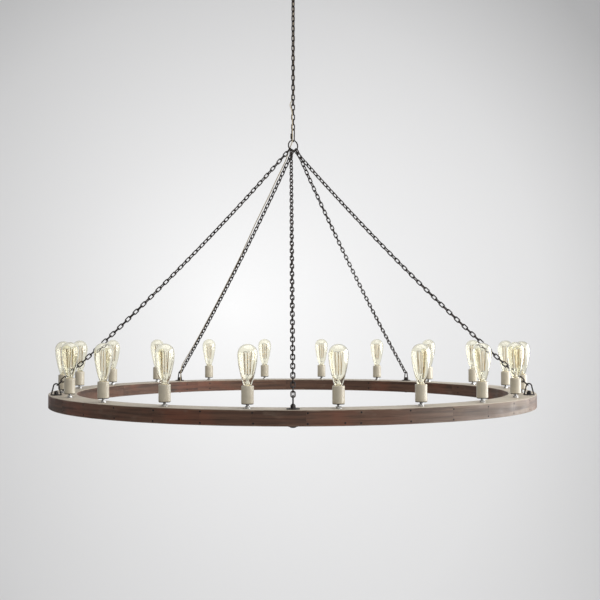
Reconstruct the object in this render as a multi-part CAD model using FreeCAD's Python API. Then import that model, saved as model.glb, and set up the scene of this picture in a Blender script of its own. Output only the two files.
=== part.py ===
import FreeCAD, Part
import os
from math import asin, atan2, ceil, cos, degrees, pi, radians, sin, tan

# Wagon wheel chandelier in millimetres, +Z up.
# The origin is the middle of the ceiling mount, so everything hangs at negative z.
# Azimuth 0 is +X, and the side that faces the viewer is at azimuth -90.
# Round pieces that are small beside the wheel are many-sided, to keep the whole light.

V = FreeCAD.Vector
UP = V(0, 0, 1)

# Gaps between pieces
seat_gap = 0.3            # between two links, or a link and what it hangs on
hook_gap = 0.65           # where a square link bar sits in the curve of a ring or bail
slip_gap = 0.15           # round a threaded piece in its hole, on each side
thread_gap = 0.05         # round a lamp cap in its screw shell, on each side
cover_gap = 0.3           # beside the strips that close the wiring groove
cord_hole_gap = 0.6       # round the cord where it goes into the rim, on each side
overshoot = 1.0           # how far a cutter passes the face that it cuts

# Flat-sided stand-ins for round shapes
square_sides = 4
drill_sides = 6
wire_sides = 8
bend_step = 30            # degrees from one corner of a small bend to the next
sharp_turn = 25           # degrees above which a cord's arc gets a corner at its middle

# Rim of the wheel
rim_outer_radius = 914.0
rim_width = 101.6
rim_height = 48.0
block_count = 36
first_block_azimuth = 2.4
groove_width = 16.0
groove_depth = 24.0
cover_thickness = 4.0
groove_sides = 40
cover_count = 5
harness_size = 4.0
lead_size = 2.4

# Lamps
lamp_count = 20
first_lamp_azimuth = 9.0
lamp_inset = 50.8         # lamp circle, in from the outer edge of the rim
nipple_diameter = 9.7
nipple_show = 12.0        # bare nipple between rim and socket
nipple_grip = 10.0        # nipple inside the socket
socket_diameter = 37.5
socket_height = 55.0
socket_floor = 26.0
contact_width = 9.0
lamp_cap_diameter = 26.0
lamp_cap_height = 25.0
bulb_diameter = 61.0
bulb_height = 124.0       # glass above the socket
bulb_shoulder = 92.0      # height of the widest place above the socket
bulb_brow = 114.5         # height where the top starts to round over, above the socket
brow_diameter = 46.5
tip_diameter = 16.0       # flat at the very top
neck_diameter = 25.0
glass_wall = 1.2
stem_diameter = 6.0
stem_height = 62.0
lamp_sides = 7

# Brackets on the rim
bracket_count = 5
first_bracket_azimuth = -90.0
bracket_sides = 8
bracket_inset = 26.0      # bolt circle, in from the outer edge of the rim
plate_diameter = 40.0
plate_thickness = 3.0
bail_wire = 4.3
bail_foot = 17.0          # foot to bolt axis
bail_leg = 28.5           # plate to the start of the round top
bail_radius = 9.5
bail_hook_angle = 135.0   # place on the round top where the chain pulls, 180 is the inner side
bolt_diameter = 9.5
bolt_grip = 8.0           # bolt above the plate, inside the cap nut
nut_width = 14.0
nut_skirt = 9.0
nut_height = 13.0
nut_end_diameter = 8.4
washer_diameter = 30.0
washer_thickness = 2.5
head_diameter = 22.0
head_end_diameter = 13.2
head_height = 4.0

# Chain
chain_wire = 4.3
link_width = 16.2
link_pitch = 19.4
main_link_count = 28
main_first_width = 135.0  # azimuth of the top link's width
main_twist = 27.0         # how far the main chain turns over its length, besides the quarter turns
side_link_count = 64
side_sag_share = 0.015
end_link_count = 2
long_link_pitches = 10    # between its ends a side chain has long links, each in place of ten

# Hub ring and quick link
hub_height = 949.0        # ring centre over the top of the rim
hub_outer_diameter = 48.0
hub_wire = 5.0
hub_azimuth = 34.0
hub_sides = 16
quick_wire = 4.5
quick_inner_width = 13.5
quick_inner_length = 45.0
quick_sleeve_width = 9.0
quick_sleeve_length = 21.0
quick_sleeve_height = 11.5  # sleeve's lower end over the middle of the bottom bow
hooks = {"left": -46.0, "front": -25.0, "back_left": -3.0, "right": 27.0, "back_right": 50.0}
bracket_of = {"front": 0, "right": 1, "back_right": 2, "back_left": 3, "left": 4}

# Ceiling hardware
crossbar_length = 101.6
crossbar_width = 19.0
crossbar_thickness = 2.0
crossbar_slot_spacing = 88.9
crossbar_slot_length = 9.0
crossbar_slot_width = 4.8
canopy_diameter = 127.0
canopy_depth = 28.0
canopy_wall = 1.2
canopy_edge_depth = 9.8   # upright part of the side
canopy_edge_diameter = 124.0
canopy_shoulder_depth = 21.0
canopy_shoulder_diameter = 100.0
canopy_flat_diameter = 56.0
canopy_sides = 12
ceiling_nipple_length = 26.0
ceiling_nipple_bore = 6.0
ceiling_nut_width = 16.0
ceiling_nut_height = 4.0
collar_diameter = 25.4
collar_top = 14.0         # collar's top under the ceiling
collar_end = 38.0         # collar's end under the ceiling
collar_nut_diameter = 34.0
collar_nut_height = 5.5
collar_sides = 10
loop_wire = 4.8
loop_inner_diameter = 16.4
loop_drop = 0.8           # inside of the loop under the collar's end
loop_azimuth = 45.0
loop_sides = 16

# Supply cord, from the ceiling down the main chain, through the hub ring and along the back left chain.
# Each stretch is a list of points, and the next one starts where it ends.
cord_diameter = 3.8
cord_sides = 5
corner_share = 0.45       # of the shorter run at a corner, which its arc takes up
cord_entry_shift = 11.0   # hole in the rim, to the side of the back left chain
cord_entry_drop = 57.8    # start of the cord's upright end, above the rim
cord_ceiling_route = [(0, 0, 0), (0, 0, -15)]
cord_top_route = [(0, 0, -15), (0, 0, -33), (0, 6.9, -50), (0.3, 6.8, -110)]
cord_chain_route = [(0.3, 6.8, -110), (2.1, 6.2, -466), (-3.8, 12.3, -480), (-11.4, 5.8, -495),
                    (-11.9, -3.2, -506), (-6.2, -7.9, -519), (-2.8, -5.5, -542), (-2.8, -5.5, -575)]
cord_hub_route = [(-2.8, -5.5, -575), (-2.8, -5.5, -615), (-1.3, -8.4, -641), (-7.3, -2.9, -659),
                  (-16, 4.9, -675), (-26.6, 12.8, -713), (-34.5, 23.2, -727.5)]
cord_side_route = [(-34.5, 23.2, -727.5), (-41.9, 33.8, -742), (-66.8, 64.6, -785.3), (-88.9, 97, -829),
                   (-113, 129.3, -872), (-136.5, 163.4, -913.4), (-159.5, 198.6, -954.5), (-181.3, 233, -997),
                   (-203.4, 267, -1039.3), (-226, 300.8, -1081.7), (-323, 435.2, -1247.9),
                   (-422.5, 572.5, -1410.3), (-466, 630, -1476.4), (-493.6, 662.5, -1517)]

# Heights, worked out from the ceiling down
loop_centre = -collar_end - loop_inner_diameter / 2 - loop_drop
main_top = loop_centre - loop_inner_diameter / 2 + seat_gap / 2
main_bottom = main_top - main_link_count * link_pitch
quick_bottom = main_bottom + seat_gap / 2 - quick_inner_length
hub_inner_radius = hub_outer_diameter / 2 - hub_wire
hub_radius = hub_outer_diameter / 2 - hub_wire / 2
hub_centre = quick_bottom + seat_gap - hub_inner_radius
rim_top = hub_centre - hub_height
rim_bottom = rim_top - rim_height
rim_inner_radius = rim_outer_radius - rim_width
lamp_radius = rim_outer_radius - lamp_inset
bracket_radius = rim_outer_radius - bracket_inset
socket_bottom = rim_top + nipple_show
socket_top = socket_bottom + socket_height
groove_top = rim_bottom + groove_depth
cover_top = rim_bottom + cover_thickness


def unit(vector):
    """Vector of length one in the same direction."""
    return vector / vector.Length


def heading(azimuth):
    """Level unit vector at an azimuth in degrees."""
    return V(cos(radians(azimuth)), sin(radians(azimuth)), 0)


def polar(radius, azimuth, height):
    """Point at a radius, azimuth and height."""
    return heading(azimuth) * radius + UP * height


def solid(faces):
    """Closed solid from flat faces, each given by its corners."""
    shell = Part.makeShell([Part.Face(Part.makePolygon(face + face[:1])) for face in faces])
    body = Part.makeSolid(shell)
    if body.Volume < 0:
        body.reverse()
    return body


def group(pieces):
    """Separate solids that share one node."""
    return Part.makeCompound(pieces)


def section(sides, across):
    """Corners of a regular section, given by the distance across its flats."""
    radius = across / 2 / cos(pi / sides)
    angles = [(index + 0.5) * 2 * pi / sides for index in range(sides)]
    return [(radius * cos(angle), radius * sin(angle)) for angle in angles]


def bent_bar(points, normal, profile, closed=False, ends=None):
    """Bar with mitred bends along points in one plane; the profile is (in plane, along the normal)."""
    count = len(points)
    rings = []
    for index, point in enumerate(points):
        inward = unit(point - points[index - 1]) if closed or index else None
        outward = unit(points[(index + 1) % count] - point) if closed or index < count - 1 else None
        if inward is None:
            tangent = ends[0] if ends else outward
        elif outward is None:
            tangent = ends[1] if ends else inward
        else:
            tangent = unit(inward + outward)
        stretch = 1 / tangent.dot(outward or inward)
        side = normal.cross(tangent)
        rings.append([point + side * (u * stretch) + normal * v for u, v in profile])
    faces = []
    for index in range(count if closed else count - 1):
        faces += band(rings[index], rings[(index + 1) % count])
    if not closed:
        faces += [rings[0], rings[-1]]
    return solid(faces)


def band(lower, upper):
    """Side faces between two rings of corners."""
    count = len(lower)
    return [[lower[k], lower[(k + 1) % count], upper[(k + 1) % count], upper[k]] for k in range(count)]


def turned(profile, sides):
    """Many-sided turned piece from a closed loop of (distance to the flats, height)."""
    rings = []
    for radius, height in profile:
        corners = section(sides, 2 * radius)
        rings.append([V(x, y, height) for x, y in corners] if radius else None)
    faces = []
    for index, ring in enumerate(rings):
        following = rings[(index + 1) % len(rings)]
        if ring and following:
            faces += band(ring, following)
        elif ring or following:
            faces.append(ring or following)
    return solid(faces)


def rod(sides, across, bottom, top):
    """Upright many-sided rod."""
    return turned([(0, bottom), (across / 2, bottom), (across / 2, top), (0, top)], sides)


def tube(sides, outer, inner, bottom, top):
    """Upright many-sided tube."""
    return turned([(inner / 2, bottom), (outer / 2, bottom), (outer / 2, top), (inner / 2, top)], sides)


def around(piece, count, first_azimuth, radius):
    """Copies of a piece made at the origin, set round the wheel with their +X outwards."""
    copies = []
    for index in range(count):
        azimuth = first_azimuth + 360.0 / count * index
        copy = piece.copy()
        copy.translate(V(radius, 0, 0))
        copy.rotate(V(0, 0, 0), UP, azimuth)
        copies.append(copy)
    return copies


def sector(inner, outer, start, end, bottom, top):
    """Block between two radii and two azimuths, with round walls."""
    middle = (start + end) / 2
    outer_wall = Part.Arc(polar(outer, start, bottom), polar(outer, middle, bottom), polar(outer, end, bottom))
    inner_wall = Part.Arc(polar(inner, end, bottom), polar(inner, middle, bottom), polar(inner, start, bottom))
    far_end = Part.LineSegment(polar(outer, end, bottom), polar(inner, end, bottom))
    near_end = Part.LineSegment(polar(inner, start, bottom), polar(outer, start, bottom))
    outline = Part.Wire([edge.toShape() for edge in (outer_wall, far_end, inner_wall, near_end)])
    return Part.Face(outline).extrude(UP * (top - bottom))


def groove_bar(width, bottom, top, start=None, end=None):
    """Flat-sided bar that follows the wiring groove, all round or from one azimuth to another."""
    step = 360.0 / groove_sides
    corner_radius = lamp_radius / cos(radians(step / 2))
    profile = [(width / 2, 0), (width / 2, top - bottom), (-width / 2, top - bottom), (-width / 2, 0)]
    if start is None:
        corners = [polar(corner_radius, step * index, bottom) for index in range(groove_sides)]
        return bent_bar(corners, UP, profile, closed=True)
    # A part strip starts and ends halfway along a side of the groove.
    first = ceil(start / step - 0.5)
    last = ceil(end / step - 0.5)
    route = [polar(lamp_radius, (first - 0.5) * step, bottom)]
    route += [polar(corner_radius, step * index, bottom) for index in range(first, last)]
    route.append(polar(lamp_radius, (last - 0.5) * step, bottom))
    return bent_bar(route, UP, profile)


# ---- Rim ----

def rim_blocks():
    """Wooden blocks end to end, grooved below, with holes for the nipples and bracket bolts."""
    under = rim_bottom - overshoot
    above = rim_top + overshoot
    groove = groove_bar(groove_width, under, groove_top)
    nipple_hole = rod(lamp_sides, nipple_diameter + 2 * slip_gap, groove_top - overshoot, above)
    bolt_hole = rod(bracket_sides, bolt_diameter + 2 * slip_gap, under, above)
    holes = around(nipple_hole, lamp_count, first_lamp_azimuth, lamp_radius)
    holes += around(bolt_hole, bracket_count, first_bracket_azimuth, bracket_radius)
    holes.append(cord_hole())
    step = 360.0 / block_count
    blocks = []
    for index in range(block_count):
        start = first_block_azimuth + step * index
        block = sector(rim_inner_radius, rim_outer_radius, start, start + step, rim_bottom, rim_top)
        near = [hole for hole in holes if hole.BoundBox.intersect(block.BoundBox)]
        blocks.append(block.cut([groove] + near).Solids[0])
    return group(blocks)


def cord_hole():
    """Drill for the cord's way down into the groove beside the back left bracket."""
    across = cord_diameter + 2 * cord_hole_gap
    drill = rod(drill_sides, across, groove_top - overshoot, rim_top + overshoot)
    drill.translate(cord_entry_place())
    return drill


def cord_entry_place():
    """Where the cord goes into the rim, beside the end of the back left chain."""
    azimuth = first_bracket_azimuth + 360.0 / bracket_count * bracket_of["back_left"]
    return polar(lamp_radius, azimuth, 0) + heading(azimuth + 90) * cord_entry_shift


def groove_covers():
    """Wooden strips that close the wiring groove, flush with the underside."""
    step = 360.0 / cover_count
    strips = []
    for index in range(cover_count):
        start = first_bracket_azimuth + step * index
        strips.append(groove_bar(groove_width - 2 * cover_gap, rim_bottom, cover_top, start, start + step))
    return group(strips)


def rim_wiring():
    """Cable round the groove on the cover strips, with a lead up to each nipple."""
    cable_top = cover_top + harness_size
    cable = groove_bar(harness_size, cover_top, cable_top)
    lead = rod(square_sides, lead_size, cable_top, groove_top)
    leads = around(lead, lamp_count, first_lamp_azimuth, lamp_radius / cos(pi / groove_sides))
    return group([cable] + leads)


# ---- Lamps ----

def socket_nipples():
    """Threaded nipples that carry the sockets; their bore is closed at both ends and isn't cut out."""
    nipple = rod(lamp_sides, nipple_diameter, groove_top, socket_bottom + nipple_grip)
    return group(around(nipple, lamp_count, first_lamp_azimuth, lamp_radius))


def socket_bodies():
    """Porcelain sockets, open at the top for the lamp caps, with a threaded hole below."""
    wall = socket_diameter / 2
    bore = lamp_cap_diameter / 2 + thread_gap
    hole = nipple_diameter / 2 + slip_gap
    grip = socket_bottom + nipple_grip
    floor = socket_bottom + socket_floor
    body = turned([(hole, socket_bottom), (wall, socket_bottom), (wall, socket_top), (bore, socket_top),
                   (bore, floor), (0, floor), (0, grip), (hole, grip)], lamp_sides)
    return group(around(body, lamp_count, first_lamp_azimuth, lamp_radius))


def socket_contacts():
    """Centre contacts, from the socket floors up to the lamp caps."""
    floor = socket_bottom + socket_floor
    contact = rod(square_sides, contact_width, floor, socket_top - lamp_cap_height - seat_gap)
    return group(around(contact, lamp_count, first_lamp_azimuth, lamp_radius))


def bulb():
    """Teardrop lamp: hollow glass, metal cap and the glass stem inside."""
    neck = neck_diameter / 2
    widest = bulb_diameter / 2
    brow = brow_diameter / 2
    bottom = socket_top
    shoulder = bottom + bulb_shoulder
    rounding = bottom + bulb_brow
    top = bottom + bulb_height
    glass = turned([(neck, bottom), (widest, shoulder), (brow, rounding), (tip_diameter / 2, top), (0, top),
                    (0, rounding), (brow - glass_wall, rounding), (widest - glass_wall, shoulder),
                    (neck - glass_wall, bottom)], lamp_sides)
    cap = rod(lamp_sides, lamp_cap_diameter, bottom - lamp_cap_height, bottom)
    stem = rod(square_sides, stem_diameter, bottom, bottom + stem_height)
    return group([glass, cap, stem])


# ---- Brackets ----

def bracket_plates():
    """Round plates under the bails."""
    plate = tube(bracket_sides, plate_diameter, bolt_diameter + 2 * slip_gap, rim_top, rim_top + plate_thickness)
    return group(around(plate, bracket_count, first_bracket_azimuth, bracket_radius))


def bails():
    """Bent wire eyes that stand on the plates with splayed legs."""
    foot = rim_top + plate_thickness
    centre = foot + bail_leg
    corner_radius = bail_radius / cos(radians(bend_step / 2))
    route = [V(-bail_foot, 0, foot)]
    for angle in range(180, -1, -bend_step):
        route.append(V(corner_radius * cos(radians(angle)), 0, centre + corner_radius * sin(radians(angle))))
    route.append(V(bail_foot, 0, foot))
    bail = bent_bar(route, V(0, 1, 0), section(square_sides, bail_wire), ends=(UP, -UP))
    return group(around(bail, bracket_count, first_bracket_azimuth, bracket_radius))


def bracket_bolts():
    """Bolts through the rim, head down."""
    under = rim_bottom - washer_thickness
    end = rim_top + plate_thickness + bolt_grip
    bolt = turned([(0, under - head_height), (head_end_diameter / 2, under - head_height),
                   (head_diameter / 2, under), (bolt_diameter / 2, under), (bolt_diameter / 2, end), (0, end)],
                  bracket_sides)
    return group(around(bolt, bracket_count, first_bracket_azimuth, bracket_radius))


def cap_nuts():
    """Domed nuts over the bolt ends."""
    seat = rim_top + plate_thickness
    hole = bolt_diameter / 2 + slip_gap
    depth = seat + bolt_grip + slip_gap
    nut = turned([(hole, seat), (nut_width / 2, seat), (nut_width / 2, seat + nut_skirt),
                  (nut_end_diameter / 2, seat + nut_height), (0, seat + nut_height), (0, depth), (hole, depth)],
                 bracket_sides)
    return group(around(nut, bracket_count, first_bracket_azimuth, bracket_radius))


def under_washers():
    """Round washers between the rim and the bolt heads."""
    washer = tube(bracket_sides, washer_diameter, bolt_diameter + 2 * slip_gap, rim_bottom - washer_thickness, rim_bottom)
    return group(around(washer, bracket_count, first_bracket_azimuth, bracket_radius))


# ---- Chains ----

def link(start, end, width_way, sides=square_sides):
    """Closed link whose end bars seat on its neighbours' bars at the two points."""
    way = unit(end - start)
    reach = (end - start).Length / 2 + (seat_gap + chain_wire) / 2
    half_width = width_way * ((link_width - chain_wire) / 2)
    middle = (start + end) / 2
    corners = [middle - way * reach - half_width, middle - way * reach + half_width,
               middle + way * reach + half_width, middle + way * reach - half_width]
    return bent_bar(corners, way.cross(width_way), section(sides, chain_wire), closed=True)


def main_link(index, sides=square_sides):
    """One link of the main chain, counted from the top."""
    turn = main_first_width + 90.0 * index - main_twist * index / (main_link_count - 1)
    top = main_top - link_pitch * index
    return link(UP * top, UP * (top - link_pitch), heading(turn), sides)


def main_chain():
    """Links of the main chain below the top one."""
    links = [main_link(index) for index in range(1, main_link_count - 1)]
    links.append(main_link(main_link_count - 1, wire_sides))
    return group(links)


def hook_place(name):
    """Middle of the hub ring's wire where a side chain hangs, and the wire's direction there."""
    angle = radians(hooks[name])
    along = heading(hub_azimuth)
    centre = UP * hub_centre + (along * sin(angle) - UP * cos(angle)) * hub_radius
    return centre, along * cos(angle) + UP * sin(angle)


def bail_place(name):
    """Middle of the bail's wire where a side chain ends, and the wire's direction there."""
    azimuth = first_bracket_azimuth + 360.0 / bracket_count * bracket_of[name]
    outward = heading(azimuth)
    angle = radians(bail_hook_angle)
    centre = outward * bracket_radius + UP * (rim_top + plate_thickness + bail_leg)
    return centre + (outward * cos(angle) + UP * sin(angle)) * bail_radius, outward * sin(angle) - UP * cos(angle)


def sagging_line(start, end, count):
    """Points at equal steps on the hanging curve between two points, taken as an arc."""
    chord = (end - start).Length
    along = unit(end - start)
    down = unit(along.cross(UP.cross(along)))
    if down.z > 0:
        down = -down
    sag = side_sag_share * chord
    radius = (chord ** 2 / 4 + sag ** 2) / (2 * sag)
    half_angle = asin(chord / 2 / radius)
    centre = (start + end) / 2 - down * (radius - sag)
    angles = [half_angle * (2 * index / count - 1) for index in range(count + 1)]
    return [centre + (along * sin(angle) + down * cos(angle)) * radius for angle in angles]


def end_ways(start, end):
    """Directions of the hanging curve at its two ends."""
    points = sagging_line(start, end, 2 * side_link_count)
    return unit(points[1] - points[0]), unit(points[-1] - points[-2])


def side_chain(name):
    """Side chain from the hub ring to its bracket, with long links between its ends."""
    ring_wire, ring_way = hook_place(name)
    bail_middle, bail_way = bail_place(name)
    leave, arrive = end_ways(ring_wire, bail_middle)
    start = ring_wire - leave * (hub_wire / 2 + hook_gap - seat_gap / 2)
    end = bail_middle + arrive * (bail_wire / 2 + hook_gap - seat_gap / 2)
    joints = sagging_line(start, end, side_link_count)
    stops = list(range(end_link_count + 1))
    while stops[-1] < side_link_count - end_link_count:
        stops.append(min(stops[-1] + long_link_pitches, side_link_count - end_link_count))
    stops += range(side_link_count - end_link_count + 1, side_link_count + 1)
    level = unit(UP.cross(leave))
    first_turn = turn_about(leave, level, ring_way.cross(leave))
    last_turn = turn_about(arrive, level, bail_way.cross(arrive))
    steps = len(stops) - 2
    # Neighbours stand a quarter turn apart, and what is left over is spread along the chain.
    left_over = (last_turn - first_turn - 90.0 * steps + 90.0) % 180.0 - 90.0
    links = []
    for index in range(steps + 1):
        top = joints[stops[index]]
        bottom = joints[stops[index + 1]]
        turn = radians(first_turn + 90.0 * index + left_over * stops[index] / (side_link_count - 1))
        way = unit(bottom - top)
        links.append(link(top, bottom, level * cos(turn) + way.cross(level) * sin(turn)))
    return group(links)


def turn_about(way, level, direction):
    """Angle of a direction about a chain's line, from the level direction across it."""
    return degrees(atan2(direction.dot(way.cross(level)), direction.dot(level)))


# ---- Hub ----

def hub_ring():
    """Welded ring that all five side chains hang on."""
    normal = heading(hub_azimuth - 90)
    along = heading(hub_azimuth)
    corner_radius = hub_radius / cos(pi / hub_sides)
    route = []
    for index in range(hub_sides):
        angle = (index + 0.5) * 2 * pi / hub_sides
        route.append(UP * hub_centre + (along * cos(angle) + UP * sin(angle)) * corner_radius)
    return bent_bar(route, normal, section(wire_sides, hub_wire), closed=True)


def quick_link():
    """Long screw link between the main chain and the hub ring."""
    across = heading(hub_azimuth + 90)
    bow_radius = (quick_inner_width + quick_wire) / 2
    corner_radius = bow_radius / cos(radians(bend_step / 2))
    top_centre = main_bottom + seat_gap / 2 - quick_inner_width / 2
    bottom_centre = quick_bottom + quick_inner_width / 2
    route = []
    for centre, start in ((top_centre, 0), (bottom_centre, 180)):
        for angle in range(start, start + 180, bend_step):
            turn = radians(angle + bend_step / 2)
            route.append(UP * centre + (across * cos(turn) + UP * sin(turn)) * corner_radius)
    return bent_bar(route, heading(hub_azimuth), section(wire_sides, quick_wire), closed=True)


def quick_link_sleeve():
    """Hexagon sleeve that screws along one bar of the quick link."""
    bow_radius = (quick_inner_width + quick_wire) / 2
    bottom = quick_bottom - quick_wire / 2 + quick_sleeve_height
    inner = quick_wire + 2 * thread_gap
    sleeve = tube(wire_sides, quick_sleeve_width, inner, bottom, bottom + quick_sleeve_length)
    sleeve.rotate(V(0, 0, 0), UP, hub_azimuth)
    sleeve.translate(heading(hub_azimuth + 90) * bow_radius)
    return sleeve


# ---- Ceiling ----

def ceiling_crossbar():
    """Steel strap with two screw slots and a hole for the nipple, flat under the ceiling."""
    strap = Part.makeBox(crossbar_length, crossbar_width, crossbar_thickness,
                         V(-crossbar_length / 2, -crossbar_width / 2, -crossbar_thickness))
    under = -crossbar_thickness - overshoot
    height = crossbar_thickness + 2 * overshoot
    cutters = [rod(collar_sides, nipple_diameter + 2 * slip_gap, under, overshoot)]
    straight = crossbar_slot_length - crossbar_slot_width
    for side in (-1, 1):
        near_end = side * crossbar_slot_spacing / 2 - straight / 2
        cutters.append(Part.makeBox(straight, crossbar_slot_width, height, V(near_end, -crossbar_slot_width / 2, under)))
        for x in (near_end, near_end + straight):
            cutters.append(Part.makeCylinder(crossbar_slot_width / 2, height, V(x, 0, under)))
    return strap.cut(cutters).removeSplitter().Solids[0]


def ceiling_nipple():
    """Threaded tube from the crossbar down into the collar."""
    return tube(collar_sides, nipple_diameter, ceiling_nipple_bore, -ceiling_nipple_length, 0)


def ceiling_locknut():
    """Nut that holds the nipple to the crossbar."""
    top = -crossbar_thickness
    return tube(collar_sides, ceiling_nut_width, nipple_diameter + 2 * slip_gap, top - ceiling_nut_height, top)


def canopy():
    """Spun steel cup against the ceiling, with a flat middle and a hole for the collar."""
    rim = canopy_diameter / 2
    edge = canopy_edge_diameter / 2
    shoulder = canopy_shoulder_diameter / 2
    flat = canopy_flat_diameter / 2
    hole = collar_diameter / 2 / cos(pi / collar_sides) + slip_gap
    wall = canopy_wall
    return turned([(rim, 0), (edge, -canopy_edge_depth), (shoulder, -canopy_shoulder_depth),
                   (flat, -canopy_depth), (hole, -canopy_depth),
                   (hole, wall - canopy_depth), (flat, wall - canopy_depth),
                   (shoulder, wall - canopy_shoulder_depth), (edge - wall, -canopy_edge_depth),
                   (rim - wall, 0)], canopy_sides)


def canopy_loop():
    """Threaded hollow collar with the loop that the chain hangs on, in one piece."""
    bore = nipple_diameter + 2 * slip_gap
    collar = rod(collar_sides, collar_diameter, -collar_end, -collar_top)
    along = heading(loop_azimuth)
    corner_radius = (loop_inner_diameter + loop_wire) / 2 / cos(pi / loop_sides)
    route = []
    for index in range(loop_sides):
        angle = (index + 0.5) * 2 * pi / loop_sides
        route.append(UP * loop_centre + (along * cos(angle) + UP * sin(angle)) * corner_radius)
    loop = bent_bar(route, heading(loop_azimuth - 90), section(wire_sides, loop_wire), closed=True)
    way_through = rod(collar_sides, bore, loop_centre, 0)
    return collar.fuse(loop).cut(way_through).removeSplitter().Solids[0]


def collar_nut():
    """Ring nut on the collar that holds the canopy up."""
    inner = collar_diameter + 2 * slip_gap
    return tube(collar_sides, collar_nut_diameter, inner, -canopy_depth - collar_nut_height, -canopy_depth)


# ---- Cord ----

def cord(route):
    """Cord along straight runs joined by tangent arcs, with flat sides."""
    points = [V(*point) for point in route]
    edges = []
    start = points[0]
    radii = []
    for before, corner, after in zip(points, points[1:], points[2:]):
        inward = unit(corner - before)
        outward = unit(after - corner)
        trim = corner_share * min((corner - before).Length, (after - corner).Length)
        half_turn = inward.getAngle(outward) / 2
        radius = trim / tan(half_turn)
        radii.append(round(radius))
        middle = corner + unit(outward - inward) * (radius / cos(half_turn) - radius)
        edges.append(Part.LineSegment(start, corner - inward * trim).toShape())
        edges.append(Part.Arc(corner - inward * trim, middle, corner + outward * trim).toShape())
        start = corner + outward * trim
    edges.append(Part.LineSegment(start, points[-1]).toShape())
    path = Part.Wire(edges)
    body = faceted_tube(edges)
    volume = section_area(cord_profile()) * path.Length
    print("cord length %.1f radii %s volume share %.4f" % (path.Length, radii, body.Volume / volume))
    return body


def cord_profile():
    """Corners of the cord's section, on its round outline."""
    return section(cord_sides, cord_diameter * cos(pi / cord_sides))


def section_area(profile):
    """Area of a closed outline."""
    pairs = zip(profile, profile[1:] + profile[:1])
    return sum(first[0] * second[1] - second[0] * first[1] for first, second in pairs) / 2


def faceted_tube(edges):
    """Flat-sided tube through the ends of the edges, and through the middle of the sharper arcs."""
    stations = []
    for edge in edges:
        first, last = edge.ParameterRange
        sharp = edge.tangentAt(first).getAngle(edge.tangentAt(last)) > radians(sharp_turn)
        for place in ((first, (first + last) / 2, last) if sharp else (first, last)):
            if not stations or (edge.valueAt(place) - stations[-1][0]).Length > 0.01:
                stations.append((edge.valueAt(place), edge.tangentAt(place)))
    side = unit(stations[0][1].cross(V(1, 0.3, 0.2)))
    rings = []
    for point, way in stations:
        # The section is carried along without twist.
        side = unit(side - way * side.dot(way))
        other = way.cross(side)
        rings.append([point + side * u + other * v for u, v in cord_profile()])
    faces = [rings[0], rings[-1]]
    for lower, upper in zip(rings, rings[1:]):
        for one, two, three, four in band(lower, upper):
            faces += [[one, two, three], [one, three, four]]
    return solid(faces)


def cord_side_end():
    """Last two points of the cord: above its hole in the rim, and on the cable in the groove."""
    place = cord_entry_place()
    return [place + UP * (rim_top + cord_entry_drop), place + UP * (cover_top + harness_size)]


nodes = {
    "ceiling_crossbar": ceiling_crossbar(),
    "ceiling_nipple": ceiling_nipple(),
    "ceiling_locknut": ceiling_locknut(),
    "canopy": canopy(),
    "canopy_loop": canopy_loop(),
    "collar_nut": collar_nut(),
    "top_link": main_link(0, wire_sides),
    "main_chain": main_chain(),
    "quick_link": quick_link(),
    "quick_link_sleeve": quick_link_sleeve(),
    "hub_ring": hub_ring(),
    "rim_blocks": rim_blocks(),
    "groove_covers": groove_covers(),
    "rim_wiring": rim_wiring(),
    "socket_nipples": socket_nipples(),
    "socket_bodies": socket_bodies(),
    "socket_contacts": socket_contacts(),
    "bracket_plates": bracket_plates(),
    "bails": bails(),
    "bracket_bolts": bracket_bolts(),
    "cap_nuts": cap_nuts(),
    "under_washers": under_washers(),
    "cord_ceiling": cord(cord_ceiling_route),
    "cord_top_bend": cord(cord_top_route),
    "cord_chain": cord(cord_chain_route),
    "cord_hub_bend": cord(cord_hub_route),
    "cord_side": cord(cord_side_route + cord_side_end()),
}
for chain_name in hooks:
    nodes[chain_name + "_chain"] = side_chain(chain_name)
for number, lamp in enumerate(around(bulb(), lamp_count, first_lamp_azimuth, lamp_radius), 1):
    nodes["bulb_%02d" % number] = lamp

os.makedirs("parts", exist_ok=True)
for node_name, shape in nodes.items():
    shape.exportStep("parts/" + node_name + ".step")
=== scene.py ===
import random
from math import asin, atan2, cos, degrees, pi, radians, sin

import bmesh
import bpy
from mathutils import Matrix, Vector


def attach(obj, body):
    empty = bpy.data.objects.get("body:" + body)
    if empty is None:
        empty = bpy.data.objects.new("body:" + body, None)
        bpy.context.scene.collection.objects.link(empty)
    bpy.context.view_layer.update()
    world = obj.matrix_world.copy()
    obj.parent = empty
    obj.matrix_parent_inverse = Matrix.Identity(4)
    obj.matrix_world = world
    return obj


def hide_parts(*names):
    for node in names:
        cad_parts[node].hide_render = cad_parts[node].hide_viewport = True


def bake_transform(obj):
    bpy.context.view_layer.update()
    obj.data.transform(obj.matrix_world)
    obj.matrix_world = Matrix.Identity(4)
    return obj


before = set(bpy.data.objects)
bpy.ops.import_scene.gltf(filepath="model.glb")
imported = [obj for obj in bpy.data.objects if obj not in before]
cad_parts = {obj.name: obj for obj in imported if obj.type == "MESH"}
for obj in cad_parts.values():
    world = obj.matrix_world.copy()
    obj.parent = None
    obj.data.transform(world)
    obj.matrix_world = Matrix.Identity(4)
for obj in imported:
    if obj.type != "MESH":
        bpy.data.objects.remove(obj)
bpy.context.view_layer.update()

# Wagon wheel chandelier. Sizes are in millimetres unless said otherwise, angles in degrees, and meshes are
# scaled to metres when they are made.
MM = 0.001
UP = Vector((0, 0, 1))
QUARTER_TURN = 90.0

# ---- Sizes that the CAD model gives ----

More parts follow.
